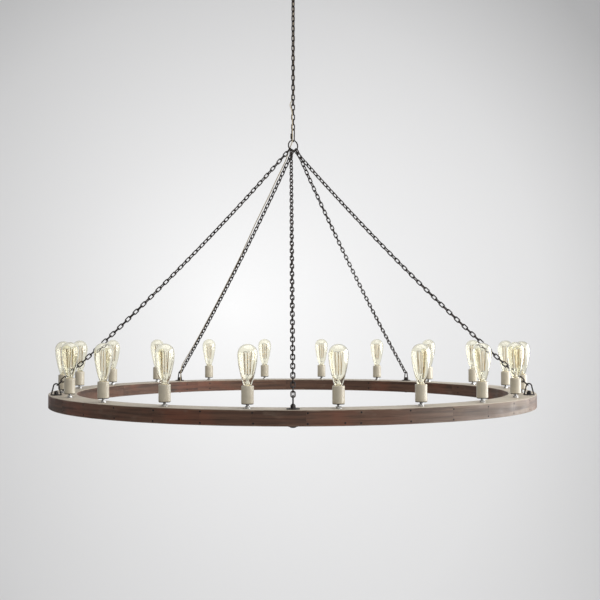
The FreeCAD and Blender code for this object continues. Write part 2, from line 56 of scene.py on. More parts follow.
# Chain. Neighbours' bars bear on each other with the seat's gap between them.
SEAT = 0.3
HOOK_GAP = 0.65
PITCH = 19.4
WIRE = 4.3
LINK_WIDTH = 16.2
MAIN_LINKS = 28
MAIN_FIRST_TURN = 135.0
MAIN_TWIST = 27.0
SIDE_LINKS = 64
SIDE_SAG = 0.015

# Hub ring and quick link
HUB_HEIGHT = 949.0
HUB_WIRE = 5.0
HUB_RADIUS = 21.5
HUB_AZIMUTH = 34.0
QUICK_WIRE = 4.5
QUICK_BOW = 9.0
QUICK_INNER_LENGTH = 45.0
QUICK_INNER_RADIUS = 6.75
SLEEVE_HEIGHT = 11.5
SLEEVE_LENGTH = 21.0

# Heights, from the ceiling down
LOOP_CENTRE = -47.0
MAIN_TOP = -55.05
MAIN_BOTTOM = MAIN_TOP - PITCH * MAIN_LINKS
QUICK_BOTTOM = MAIN_BOTTOM + SEAT / 2 - QUICK_INNER_LENGTH
HUB_CENTRE = QUICK_BOTTOM + SEAT - (HUB_RADIUS - HUB_WIRE / 2)
RIM_THICKNESS = 48.0
RIM_TOP = HUB_CENTRE - HUB_HEIGHT
RIM_BOTTOM = RIM_TOP - RIM_THICKNESS
SOCKET_BOTTOM = RIM_TOP + 12.0
SOCKET_TOP = SOCKET_BOTTOM + 55.0

# Rim
RIM_OUTER = 914.0
RIM_INNER = 812.4
BLOCKS = 36
BLOCK_TURN = 10.0
FIRST_BLOCK = 2.4
GROOVE_RADIUS = 864.5
GROOVE_WIDTH = 16.0
GROOVE_DEPTH = 24.0

# Lamps and brackets
LAMPS = 20
LAMP_RADIUS = 863.2
LAMP_TURN = 18.0
FIRST_LAMP = 9.0
BRACKETS = 5
BRACKET_RADIUS = 888.0
BRACKET_TURN = 72.0
FIRST_BRACKET = -90.0
PLATE = 3.0
BAIL_LEG = 28.5
BAIL_RADIUS = 9.5
BAIL_PULL = 135.0
CORD_WIDTH = 3.8

# Where on the hub ring each side chain hangs, from its lowest point, and its bracket
HOOKS = {"left": -46.0, "front": -25.0, "back_left": -3.0, "right": 27.0, "back_right": 50.0}
BRACKET_OF = {"front": 0, "right": 1, "back_right": 2, "back_left": 3, "left": 4}

rng = random.Random(7)


# ---- Geometry helpers ----

def heading(azimuth):
    """Level unit vector at an azimuth in degrees."""
    return Vector((cos(radians(azimuth)), sin(radians(azimuth)), 0))


class Build:
    """Collects vertices and faces, with a material index for each face."""

    def __init__(self):
        self.verts = []
        self.faces = []
        self.slots = []

    def add(self, verts, faces, slot=0):
        first = len(self.verts)
        self.verts += [Vector(v) for v in verts]
        self.faces += [tuple(first + i for i in face) for face in faces]
        self.slots += [slot] * len(faces)

    def placed(self, other, matrix):
        """Adds a copy of another build."""
        first = len(self.verts)
        self.verts += [matrix @ v for v in other.verts]
        self.faces += [tuple(first + i for i in face) for face in other.faces]
        self.slots += other.slots

    def object(self, name, materials, sharp=35):
        mesh = bpy.data.meshes.new(name)
        mesh.from_pydata([tuple(v * MM) for v in self.verts], [], self.faces)
        for material in materials:
            mesh.materials.append(material)
        mesh.polygons.foreach_set("material_index", self.slots)
        mesh.update()
        mesh.shade_smooth()
        mesh.set_sharp_from_angle(angle=radians(sharp))
        made = bpy.data.objects.new(name, mesh)
        bpy.context.scene.collection.objects.link(made)
        return made


def sweep(points, radius, sides, closed=False, normal=None):
    """Round bar along points. Its section keeps to the normal, or without one turns as little as it can."""
    count = len(points)
    verts = []
    carried = None
    for i, point in enumerate(points):
        before = points[i - 1] if closed or i else points[0]
        after = points[(i + 1) % count] if closed or i < count - 1 else points[-1]
        tangent = (after - before).normalized()
        if normal is not None:
            out = normal
        elif carried is None:
            out = tangent.cross(Vector((0.31, 0.9, 0.2))).normalized()
        else:
            out = (carried - tangent * carried.dot(tangent)).normalized()
        carried = out
        other = tangent.cross(out).normalized()
        for k in range(sides):
            angle = 2 * pi * k / sides
            verts.append(point + (out * cos(angle) + other * sin(angle)) * radius)
    faces = []
    for i in range(count if closed else count - 1):
        j = (i + 1) % count
        for k in range(sides):
            m = (k + 1) % sides
            faces.append((i * sides + k, i * sides + m, j * sides + m, j * sides + k))
    if not closed:
        faces.append(tuple(reversed(range(sides))))
        faces.append(tuple((count - 1) * sides + k for k in range(sides)))
    return verts, faces


def lathe(profile, sides, closed=True):
    """Round piece about Z from (radius, height) points. A closed one runs back to its first point."""
    verts = []
    rings = []
    for radius, height in profile:
        if radius < 1e-6:
            rings.append([len(verts)])
            verts.append((0, 0, height))
            continue
        rings.append(list(range(len(verts), len(verts) + sides)))
        for k in range(sides):
            angle = 2 * pi * k / sides
            verts.append((radius * cos(angle), radius * sin(angle), height))
    faces = []
    for i in range(len(rings) if closed else len(rings) - 1):
        lower = rings[i]
        upper = rings[(i + 1) % len(rings)]
        for k in range(sides):
            m = (k + 1) % sides
            if len(lower) > 1 and len(upper) > 1:
                faces.append((lower[k], lower[m], upper[m], upper[k]))
            elif len(upper) > 1:
                faces.append((lower[0], upper[m], upper[k]))
            elif len(lower) > 1:
                faces.append((lower[k], lower[m], upper[0]))
    return verts, faces


def smooth_line(points, steps):
    """Points on a Catmull-Rom curve through the given ones."""
    result = []
    for i in range(len(points) - 1):
        before = Vector(points[max(i - 1, 0)])
        start = Vector(points[i])
        end = Vector(points[i + 1])
        after = Vector(points[min(i + 2, len(points) - 1)])
        for k in range(steps):
            t = k / steps
            square = 2 * before - 5 * start + 4 * end - after
            cube = 3 * start - before - 3 * end + after
            result.append(0.5 * (2 * start + (end - before) * t + square * t ** 2 + cube * t ** 3))
    result.append(Vector(points[-1]))
    return result


def thread(inner, outer, bottom, top, pitch, bevel):
    """Profile of a threaded outside, from bottom to top."""
    points = [(inner, bottom)]
    height = bottom + bevel
    while height + pitch < top - bevel:
        points += [(inner, height), (outer, height + 0.35 * pitch), (outer, height + 0.65 * pitch)]
        height += pitch
    points += [(inner, height), (inner, top)]
    return points


def hexagon(across, bottom, top, hole, chamfer, dome=None):
    """Hexagon nut with turned corners, open through its hole or closed by a dome."""
    flat = across / 2
    count = 36
    corner = flat / cos(pi / 6)
    slope = chamfer * 0.55

    def ring(limit, height):
        """Points on the hexagon, but none further out than the limit."""
        row = []
        for k in range(count):
            angle = 2 * pi * k / count
            side = flat / cos((angle + pi / 6) % (pi / 3) - pi / 6)
            row.append((min(side, limit) * cos(angle), min(side, limit) * sin(angle), height))
        return row

    rows = [ring(flat - 0.3, bottom), ring(corner, bottom + slope), ring(corner, top - slope), ring(flat - 0.2, top)]
    rows += [ring(radius, height) for radius, height in dome or ((hole, top), (hole, bottom))]
    verts = [v for row in rows for v in row]
    faces = []
    last = len(rows) - 1
    for i in range(last):
        for k in range(count):
            m = (k + 1) % count
            faces.append((i * count + k, i * count + m, (i + 1) * count + m, (i + 1) * count + k))
    if dome:
        faces.append(tuple(last * count + k for k in range(count)))
        faces.append(tuple(reversed(range(count))))
    else:
        for k in range(count):
            m = (k + 1) % count
            faces.append((last * count + k, last * count + m, m, k))
    return verts, faces


def at(radius, azimuth, height):
    """Place on the wheel, with +X outwards."""
    return Matrix.Rotation(radians(azimuth), 4, "Z") @ Matrix.Translation((radius, 0, height))


def one(verts_faces):
    """Build that holds a single form."""
    build = Build()
    build.add(*verts_faces)
    return build


# ---- Material helpers ----

class Nodes:
    """Short way to write a node tree round one Principled shader."""

    def __init__(self, name):
        self.material = bpy.data.materials.new(name)
        self.material.use_nodes = True
        self.tree = self.material.node_tree
        self.tree.nodes.clear()
        self.shader = self.add("ShaderNodeBsdfPrincipled")
        output = self.add("ShaderNodeOutputMaterial")
        self.join(self.shader, "BSDF", output, "Surface")

    def add(self, kind, values=None, **settings):
        made = self.tree.nodes.new(kind)
        for key, value in settings.items():
            setattr(made, key, value)
        for key, value in (values or {}).items():
            if isinstance(value, tuple) and isinstance(value[0], bpy.types.Node):
                self.join(value[0], value[1], made, key)
            else:
                made.inputs[key].default_value = value
        return made

    def join(self, source, output, target, socket):
        self.tree.links.new(source.outputs[output], target.inputs[socket])

    def coordinates(self, scale, source=None):
        """Object coordinates in metres, or an attribute's, stretched by a scale on each axis."""
        if source:
            start = (self.add("ShaderNodeAttribute", attribute_name=source), "Vector")
        else:
            start = (self.add("ShaderNodeTexCoord"), "Object")
        return (self.add("ShaderNodeMapping", {"Vector": start, "Scale": scale}), "Vector")

    def noise(self, where, scale, detail=4.0, roughness=0.55, distortion=0.0):
        return (self.add("ShaderNodeTexNoise", {"Vector": where, "Scale": scale, "Detail": detail,
                                                "Roughness": roughness, "Distortion": distortion}), "Fac")

    def ramp(self, factor, stops):
        made = self.add("ShaderNodeValToRGB", {"Fac": factor})
        elements = made.color_ramp.elements
        while len(elements) < len(stops):
            elements.new(0.5)
        for element, (place, colour) in zip(elements, stops):
            element.position = place
            element.color = (*colour, 1.0)
        return (made, "Color")

    def math(self, operation, first, second=0.0):
        made = self.add("ShaderNodeMath", operation=operation)
        for index, value in enumerate((first, second)):
            if isinstance(value, tuple):
                self.tree.links.new(value[0].outputs[value[1]], made.inputs[index])
            else:
                made.inputs[index].default_value = value
        return (made, "Value")

    def feed(self, value, socket):
        """Joins a node's output to a socket, or sets it to a colour or a number."""
        if isinstance(value, tuple) and isinstance(value[0], bpy.types.Node):
            node, output = value
            # A mix node has an output of this name for each type of data, and the third one is its colour
            self.tree.links.new(node.outputs[2 if node.bl_idname == "ShaderNodeMix" else output], socket)
        elif isinstance(value, tuple):
            socket.default_value = (*value, 1.0)
        else:
            socket.default_value = value

    def mix(self, factor, first, second):
        """Colour between two others."""
        made = self.add("ShaderNodeMix", data_type="RGBA")
        for socket, value in ((made.inputs[0], factor), (made.inputs[6], first), (made.inputs[7], second)):
            self.feed(value, socket)
        return (made, "Result")

    def surface(self, colour, roughness, bump=None, strength=0.3, distance=0.0005, **constants):
        """Joins colour, roughness and bump to the shader; the other values are constants on its sockets."""
        shader = self.shader
        self.feed(colour, shader.inputs["Base Color"])
        self.feed(roughness, shader.inputs["Roughness"])
        if bump:
            raised = self.add("ShaderNodeBump", {"Strength": strength, "Distance": distance, "Height": bump})
            self.join(raised, "Normal", shader, "Normal")
        for key, value in constants.items():
            shader.inputs[key.replace("_", " ")].default_value = value
        return self.material


def remap(nodes, value, low, high, to_low, to_high):
    """Value moved from one range to another and kept within it."""
    made = nodes.add("ShaderNodeMapRange", {"Value": value, "From Min": low, "From Max": high,
                                            "To Min": to_low, "To Max": to_high}, clamp=True)
    return (made, "Result")


def wood_material(name, dark, middle, red, grey, top_light_colour):
    """Old oiled lumber: grain along each block, worn edges, rusty red and grey patches, painted sheen on the right
    of the outer face, and an upper face painted paler as lit from above.
    """
    n = Nodes(name)
    long_grain = n.coordinates((1.6, 42.0, 42.0), "grain")
    fine_grain = n.coordinates((5.0, 190.0, 190.0), "grain")
    block = (n.add("ShaderNodeAttribute", attribute_name="block"), "Fac")
    broad = n.noise(long_grain, 1.0, 6.0, 0.62, 1.1)
    fine = n.noise(fine_grain, 1.0, 4.0, 0.7)
    patches = n.noise(n.coordinates((1.0, 1.0, 1.6)), 5.5, 3.0, 0.55)
    stains = n.noise(n.coordinates((1.0, 1.0, 2.0)), 15.0, 4.0, 0.6)
    base = n.ramp(broad, [(0.32, dark), (0.5, middle), (0.68, tuple(min(1.0, c * 1.45) for c in middle))])
    reddish = n.mix(remap(n, patches, 0.5, 0.68, 0.0, 0.75), base, red)
    blockish = n.mix(remap(n, block, 0.0, 1.0, 0.0, 0.2), reddish, dark)
    greyed = n.mix(remap(n, stains, 0.55, 0.75, 0.0, 0.4), blockish, grey)
    lines = n.mix(remap(n, fine, 0.34, 0.5, 0.55, 0.0), greyed, tuple(c * 0.45 for c in dark))
    # Distance to the nearest long edge, in metres, as the sum of those to the two faces that meet there
    place = n.add("ShaderNodeTexCoord")
    parts = n.add("ShaderNodeSeparateXYZ", {"Vector": (place, "Object")})
    radius = n.math("SQRT", n.math("ADD", n.math("MULTIPLY", (parts, "X"), (parts, "X")),
                                   n.math("MULTIPLY", (parts, "Y"), (parts, "Y"))))
    height = (parts, "Z")
    middle_height = (RIM_TOP + RIM_BOTTOM) / 2 * MM
    middle_radius = (RIM_OUTER + RIM_INNER) / 2 * MM
    half_width = (RIM_OUTER - RIM_INNER) / 2 * MM - 0.0002
    rise = n.math("SUBTRACT", RIM_THICKNESS / 2 * MM, n.math("ABSOLUTE", n.math("SUBTRACT", height, middle_height)))
    inset = n.math("SUBTRACT", half_width, n.math("ABSOLUTE", n.math("SUBTRACT", radius, middle_radius)))
    distance = n.math("ADD", n.math("ABSOLUTE", rise), n.math("ABSOLUTE", inset))
    ragged = n.math("ADD", distance, n.math("MULTIPLY", n.math("SUBTRACT", stains, 0.5), 0.012))
    worn = remap(n, ragged, 0.0, 0.0042, 0.7, 0.0)
    edged = n.mix(worn, lines, tuple(min(1.0, c * 1.35) for c in grey))
    # Painted sheen: the outer face is painted lighter and greyer on the right, where the light from the right falls
    # at grazing angles
    painted_right_sheen_mask = n.math("MULTIPLY", n.math("MULTIPLY", remap(n, (parts, "X"), 0.28, 0.75, 0.0, 0.7),
                                         remap(n, (parts, "X"), 0.83, 0.905, 1.0, 0.3)),
                      remap(n, radius, 0.9, 0.91, 0.0, 1.0))
    sheen_colour = n.ramp(broad, [(0.35, (0.1, 0.08, 0.068)), (0.62, (0.25, 0.21, 0.165))])
    right_sheened = n.mix(painted_right_sheen_mask, edged, sheen_colour)
    # Painted light: the upper face is painted paler, as lit from above, with the fine grain showing through
    upper = remap(n, height, (RIM_TOP - 1.6) * MM, (RIM_TOP - 0.4) * MM, 0.0, 0.86)
    pale = n.mix(n.math("MULTIPLY", fine, 0.6), top_light_colour, tuple(c * 0.62 for c in top_light_colour))
    colour = n.mix(upper, right_sheened, pale)
    rough = remap(n, stains, 0.3, 0.7, 0.42, 0.68)
    relief = n.math("ADD", n.math("MULTIPLY", fine, 0.55), n.math("MULTIPLY", broad, 0.8))
    return n.surface(colour, rough, relief, 0.55, 0.0012, Specular_IOR_Level=0.3)


def iron_material(name, dark, rust, low, high, metallic, amount=0.5):
    """Dark hand-finished iron with rusty patches and rubbed spots."""
    n = Nodes(name)
    where = n.coordinates((1.0, 1.0, 1.0))
    cloud = n.noise(where, 55.0, 5.0, 0.6)
    grit = n.noise(where, 900.0, 3.0, 0.6)
    spots = n.noise(where, 210.0, 4.0, 0.7)
    base = n.mix(remap(n, cloud, 0.45, 0.7, 0.0, amount), dark, rust)
    rubbed = n.mix(remap(n, spots, 0.58, 0.8, 0.0, 0.35), base, tuple(min(1.0, c * 2.4 + 0.03) for c in dark))
    rough = remap(n, spots, 0.3, 0.7, low, high)
    return n.surface(rubbed, rough, n.math("ADD", grit, n.math("MULTIPLY", spots, 1.5)), 0.35, 0.0003,
                     Metallic=metallic)


def metal_material(name, colour, darker, low, high):
    """Plated or plain metal with slight tarnish."""
    n = Nodes(name)
    where = n.coordinates((1.0, 1.0, 1.0))
    cloud = n.noise(where, 160.0, 5.0, 0.6)
    brushed = n.noise(n.coordinates((1.0, 1.0, 9.0)), 400.0, 3.0, 0.6)
    tone = n.mix(remap(n, cloud, 0.42, 0.72, 0.0, 0.8), colour, darker)
    return n.surface(tone, remap(n, cloud, 0.3, 0.7, low, high), brushed, 0.12, 0.0002, Metallic=1.0)


def porcelain_material():
    """Glazed off-white porcelain with faint mottling and specks."""
    n = Nodes("porcelain")
    where = n.coordinates((1.0, 1.0, 1.0))
    cloud = n.noise(where, 30.0, 4.0, 0.55)
    specks = n.noise(where, 620.0, 2.0, 0.5)
    streaks = n.noise(n.coordinates((260.0, 260.0, 9.0)), 1.0, 3.0, 0.6)
    tone = n.mix(remap(n, cloud, 0.35, 0.7, 0.0, 1.0), (0.54, 0.488, 0.378), (0.45, 0.403, 0.307))
    streaked = n.mix(remap(n, streaks, 0.5, 0.75, 0.0, 0.35), tone, (0.35, 0.32, 0.26))
    speckled = n.mix(remap(n, specks, 0.68, 0.78, 0.0, 0.5), streaked, (0.25, 0.22, 0.18))
    return n.surface(speckled, remap(n, cloud, 0.3, 0.7, 0.24, 0.42), cloud, 0.15, 0.0006, Coat_Weight=0.25,
                     Coat_Roughness=0.18)


def glass_material(name, tint, roughness):
    """Clear tinted glass with a little unevenness."""
    n = Nodes(name)
    where = n.coordinates((1.0, 1.0, 0.5))
    cloud = n.noise(where, 24.0, 2.0, 0.5)
    tone = n.mix(remap(n, cloud, 0.3, 0.7, 0.0, 1.0), tint, tuple(c * 0.97 for c in tint))
    return n.surface(tone, roughness, cloud, 0.06, 0.0008, Transmission_Weight=1.0, IOR=1.45)


def filament_material():
    """Warm golden coiled wire."""
    n = Nodes("filament")
    rings = n.noise(n.coordinates((1.0, 1.0, 26.0)), 60.0, 2.0, 0.5)
    tone = n.mix(rings, (0.42, 0.27, 0.11), (0.6, 0.43, 0.2))
    return n.surface(tone, 0.5, rings, 0.3, 0.0003, Metallic=0.3)


def cord_material():
    """Clear pale gold lamp cord with its twisted conductors showing through."""
    n = Nodes("cord")
    where = n.coordinates((1.0, 1.0, 1.0))
    twist = n.noise(n.coordinates((1.0, 1.0, 2.2)), 240.0, 2.0, 0.4, 0.6)
    cloud = n.noise(where, 40.0, 3.0, 0.5)
    copper = n.mix(remap(n, twist, 0.42, 0.58, 0.0, 0.8), (0.62, 0.54, 0.37), (0.46, 0.33, 0.2))
    tone = n.mix(remap(n, cloud, 0.35, 0.7, 0.0, 0.5), copper, (0.55, 0.5, 0.38))
    return n.surface(tone, 0.28, twist, 0.2, 0.0004, Transmission_Weight=0.22, IOR=1.46, Coat_Weight=0.4,
                     Coat_Roughness=0.15)


def rubber_material():
    """Black cable sheath."""
    n = Nodes("cable")
    where = n.coordinates((1.0, 1.0, 1.0))
    dust = n.noise(where, 90.0, 4.0, 0.6)
    tone = n.mix(remap(n, dust, 0.5, 0.75, 0.0, 0.5), (0.018, 0.018, 0.019), (0.09, 0.085, 0.08))
    return n.surface(tone, remap(n, dust, 0.3, 0.7, 0.5, 0.75), dust, 0.2, 0.0003)


WOOD = wood_material("rim_wood", (0.04, 0.022, 0.014), (0.105, 0.054, 0.034), (0.185, 0.066, 0.037),
                     (0.19, 0.14, 0.105), (0.45, 0.4, 0.32))
STRIP_WOOD = wood_material("strip_wood", (0.03, 0.019, 0.014), (0.07, 0.042, 0.03), (0.1, 0.05, 0.034),
                           (0.13, 0.1, 0.08), (0.3, 0.27, 0.22))
IRON = iron_material("chain_iron", (0.013, 0.009, 0.007), (0.055, 0.027, 0.016), 0.55, 0.8, 0.15)
DARK_IRON = iron_material("bracket_iron", (0.01, 0.0075, 0.0065), (0.04, 0.021, 0.013), 0.5, 0.75, 0.2)
NAIL_IRON = iron_material("nail_iron", (0.007, 0.005, 0.0045), (0.03, 0.015, 0.01), 0.6, 0.85, 0.15)
BRONZE = iron_material("canopy_bronze", (0.03, 0.022, 0.018), (0.07, 0.045, 0.03), 0.3, 0.5, 0.75, 0.35)
ZINC = metal_material("zinc_steel", (0.56, 0.57, 0.58), (0.34, 0.35, 0.37), 0.3, 0.5)
NICKEL = metal_material("nickel", (0.66, 0.66, 0.65), (0.36, 0.36, 0.36), 0.16, 0.34)
BRASS = metal_material("brass", (0.72, 0.55, 0.26), (0.5, 0.36, 0.17), 0.24, 0.42)
PORCELAIN = porcelain_material()
BULB_GLASS = glass_material("bulb_glass", (1.0, 0.985, 0.895), 0.0)
STEM_GLASS = glass_material("stem_glass", (0.98, 0.97, 0.94), 0.03)
FILAMENT = filament_material()
CORD = cord_material()
RUBBER = rubber_material()


# ---- Camera and cords ----

camera_data = bpy.data.cameras.new("camera")
camera_data.sensor_width = 36.0
camera_data.lens = 57.2
camera = bpy.data.objects.new("camera", camera_data)
camera.location = (0.0, -3.689, -1.3808)
camera.rotation_euler = (pi / 2 + 0.0322, 0.0, -0.0073)
bpy.context.scene.collection.objects.link(camera)
bpy.context.scene.camera = camera

# The supply cord's points are those of the CAD cord, in metres.
CORD_CEILING = [(0, 0, 0), (0, 0, -0.015)]
CORD_TOP = [(0, 0, -0.015), (0, 0, -0.033), (0, 0.0069, -0.05), (0.0003, 0.0068, -0.11)]
CORD_CHAIN = [(0.0003, 0.0068, -0.11), (0.0021, 0.0062, -0.466), (-0.0038, 0.0123, -0.48),
              (-0.0114, 0.0058, -0.495), (-0.0119, -0.0032, -0.506), (-0.0062, -0.0079, -0.519),
              (-0.0028, -0.0055, -0.542), (-0.0028, -0.0055, -0.575)]
CORD_HUB = [(-0.0028, -0.0055, -0.575), (-0.0028, -0.0055, -0.615), (-0.0013, -0.0084, -0.641),
            (-0.0073, -0.0029, -0.659), (-0.016, 0.0049, -0.675), (-0.0266, 0.0128, -0.713),
            (-0.0345, 0.0232, -0.7275)]
CORD_SIDE = [(-0.0345, 0.0232, -0.7275), (-0.0419, 0.0338, -0.742), (-0.0668, 0.0646, -0.7853),
             (-0.0889, 0.097, -0.829), (-0.113, 0.1293, -0.872), (-0.1365, 0.1634, -0.9134),
             (-0.1595, 0.1986, -0.9545), (-0.1813, 0.233, -0.997), (-0.2034, 0.267, -1.0393),
             (-0.226, 0.3008, -1.0817), (-0.323, 0.4352, -1.2479), (-0.4225, 0.5725, -1.4103),
             (-0.466, 0.63, -1.4764), (-0.4936, 0.6625, -1.517), (-0.5163, 0.6919, -1.553),
             (-0.5163, 0.6919, -1.6508)]


def cord_curve(name, points):
    """Smooth round cord with the points as its control points."""
    data = bpy.data.curves.new(name, "CURVE")
    data.dimensions = "3D"
    spline = data.splines.new("NURBS")
    spline.points.add(len(points) - 1)
    for control, point in zip(spline.points, points):
        control.co = (*point, 1.0)
    spline.order_u = min(3, len(points))
    spline.use_endpoint_u = True
    spline.resolution_u = 12
    data.bevel_depth = CORD_WIDTH / 2 * MM
    data.bevel_resolution = 4
    data.use_fill_caps = True
    data.materials.append(CORD)
    made = bpy.data.objects.new(name, data)
    bpy.context.scene.collection.objects.link(made)
    return made


def as_mesh(curve, name):
    """Mesh copy of a curve object, which is then removed."""
    bpy.context.view_layer.update()
    mesh = bpy.data.meshes.new_from_object(curve.evaluated_get(bpy.context.evaluated_depsgraph_get()))
    mesh.name = name
    mesh.shade_smooth()
    made = bpy.data.objects.new(name, mesh)
    bpy.context.scene.collection.objects.link(made)
    bpy.data.objects.remove(curve)
    return made


cord_at_ceiling = cord_curve("cord_at_ceiling", CORD_CEILING)
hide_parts("cord_ceiling")
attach(cord_at_ceiling, "ceiling_fitting")
cord_on_chain = cord_curve("cord_on_chain", CORD_CHAIN)
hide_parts("cord_chain")
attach(cord_on_chain, "main_chain")
cord_to_rim = cord_curve("cord_to_rim", CORD_SIDE)
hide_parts("cord_side")
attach(cord_to_rim, "wheel")


def split_bend(curve, names, height):
    """Two meshes, above and below a height, of a cord that crosses two joints."""
    whole = as_mesh(curve, names[0])
    lower = bpy.data.objects.new(names[1], whole.data.copy())
    lower.data.name = names[1]
    bpy.context.scene.collection.objects.link(lower)
    for piece, above in ((whole, True), (lower, False)):
        form = bmesh.new()
        form.from_mesh(piece.data)
        geometry = form.verts[:] + form.edges[:] + form.faces[:]
        bmesh.ops.bisect_plane(form, geom=geometry, plane_co=(0, 0, height * MM), plane_no=(0, 0, 1),
                               clear_inner=above, clear_outer=not above)
        form.to_mesh(piece.data)
        form.free()
    return whole, lower


TOP_SPLIT = -66.0
HUB_SPLIT = -622.0
top_curve = cord_curve("cord_top", CORD_TOP)
top_upper, top_lower = split_bend(top_curve, ("cord_top_upper", "cord_top_lower"), TOP_SPLIT)
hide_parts("cord_top_bend")
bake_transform(top_upper)
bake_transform(top_lower)
hub_curve = cord_curve("cord_hub", CORD_HUB)
hub_upper, hub_lower = split_bend(hub_curve, ("cord_hub_upper", "cord_hub_lower"), HUB_SPLIT)
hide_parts("cord_hub_bend")
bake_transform(hub_upper)
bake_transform(hub_lower)


# ---- Chains ----

BOW_STEPS = 9


def link_form(start, end, width_way, sides):
    """Welded round-wire link whose bows seat on its neighbours' at the two points."""
    way = (end - start).normalized()
    reach = (end - start).length / 2 + (SEAT + WIRE) / 2
    bow = (LINK_WIDTH - WIRE) / 2
    half = reach - bow
    middle = (start + end) / 2
    points = []
    for sign in (1, -1):
        for k in range(BOW_STEPS + 1):
            angle = pi * k / BOW_STEPS
            points.append(middle + way * (sign * (half + bow * sin(angle))) + width_way * (sign * bow * cos(angle)))
    return sweep(points, WIRE / 2, sides, True, way.cross(width_way).normalized())


def main_link(build, index):
    """Adds a link of the main chain, a quarter turn from its neighbours but for the chain's twist."""
    top = MAIN_TOP - PITCH * index
    turn = MAIN_FIRST_TURN + QUARTER_TURN * index - MAIN_TWIST * index / (MAIN_LINKS - 1)
    build.add(*link_form(UP * top, UP * (top - PITCH), heading(turn), 12))


chain_build = Build()
for index in range(1, MAIN_LINKS):
    main_link(chain_build, index)
main_chain = chain_build.object("main_chain_links", [IRON])
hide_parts("main_chain")
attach(main_chain, "main_chain")
link_build = Build()
main_link(link_build, 0)
top_link = link_build.object("top_link_form", [IRON])
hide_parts("top_link")
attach(top_link, "top_link")


def hook_place(name):
    """Middle of the hub ring's wire where a side chain hangs, and the wire's direction there."""
    angle = radians(HOOKS[name])
    along = heading(HUB_AZIMUTH)
    place = UP * HUB_CENTRE + (along * sin(angle) - UP * cos(angle)) * HUB_RADIUS
    return place, along * cos(angle) + UP * sin(angle)


def bail_place(name):
    """Middle of the bail's wire where a side chain ends, and the wire's direction there."""
    outward = heading(FIRST_BRACKET + BRACKET_TURN * BRACKET_OF[name])
    angle = radians(BAIL_PULL)
    centre = outward * BRACKET_RADIUS + UP * (RIM_TOP + PLATE + BAIL_LEG)
    place = centre + (outward * cos(angle) + UP * sin(angle)) * BAIL_RADIUS
    return place, outward * sin(angle) - UP * cos(angle)


def sagging_line(start, end, count):
    """Points at equal steps on the hanging curve between two points, taken as an arc."""
    chord = (end - start).length
    along = (end - start).normalized()
    down = along.cross(UP.cross(along)).normalized()
    if down.z > 0:
        down = -down
    sag = SIDE_SAG * chord
    radius = (chord ** 2 / 4 + sag ** 2) / (2 * sag)
    half_angle = asin(chord / 2 / radius)
    centre = (start + end) / 2 - down * (radius - sag)
    angles = [half_angle * (2 * k / count - 1) for k in range(count + 1)]
    return [centre + (along * sin(a) + down * cos(a)) * radius for a in angles]


def turn_about(way, level, direction):
    """Turn of a direction about a way, from the level."""
    return degrees(atan2(direction.dot(way.cross(level)), direction.dot(level)))


def side_chain(name):
    """All links of a side chain, each a quarter turn from its neighbours but for a little twist over the whole."""
    ring_wire, ring_way = hook_place(name)
    bail_middle, bail_way = bail_place(name)
    ends = sagging_line(ring_wire, bail_middle, 2 * SIDE_LINKS)
    leave = (ends[1] - ends[0]).normalized()
    arrive = (ends[-1] - ends[-2]).normalized()
    start = ring_wire - leave * (HUB_WIRE / 2 + HOOK_GAP - SEAT / 2)
    end = bail_middle + arrive * (WIRE / 2 + HOOK_GAP - SEAT / 2)
    joints = sagging_line(start, end, SIDE_LINKS)
    level = UP.cross(leave).normalized()
    first_turn = turn_about(leave, level, ring_way.cross(leave))
    last_turn = turn_about(arrive, level, bail_way.cross(arrive))
    # What the quarter turns leave over, brought to the nearest half turn, is shared out among the links
    unshared = last_turn - first_turn - QUARTER_TURN * (SIDE_LINKS - 1)
    left_over = (unshared + QUARTER_TURN) % (2 * QUARTER_TURN) - QUARTER_TURN
    build = Build()
    for k in range(SIDE_LINKS):
        loose = rng.uniform(-2.5, 2.5) if 1 < k < SIDE_LINKS - 2 else 0.0
        turn = radians(first_turn + QUARTER_TURN * k + left_over * k / (SIDE_LINKS - 1) + loose)
        way = (joints[k + 1] - joints[k]).normalized()
        across = (level * cos(turn) + way.cross(level) * sin(turn)).normalized()
        build.add(*link_form(joints[k], joints[k + 1], across, 10))
    return build


for name in HOOKS:
    chain = side_chain(name).object(name + "_chain_links", [IRON])
    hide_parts(name + "_chain")
    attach(chain, "wheel")


# ---- Hub ring and quick link ----

def circle(centre, first, second, radius, count):
    """Points round a circle in the plane of two directions."""
    return [centre + (first * cos(2 * pi * k / count) + second * sin(2 * pi * k / count)) * radius
            for k in range(count)]


ring_points = circle(UP * HUB_CENTRE, heading(HUB_AZIMUTH), UP, HUB_RADIUS, 56)
ring_build = one(sweep(ring_points, HUB_WIRE / 2, 16, True, heading(HUB_AZIMUTH - QUARTER_TURN)))
hub_ring = ring_build.object("hub_ring_form", [IRON])
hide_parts("hub_ring")
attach(hub_ring, "wheel")

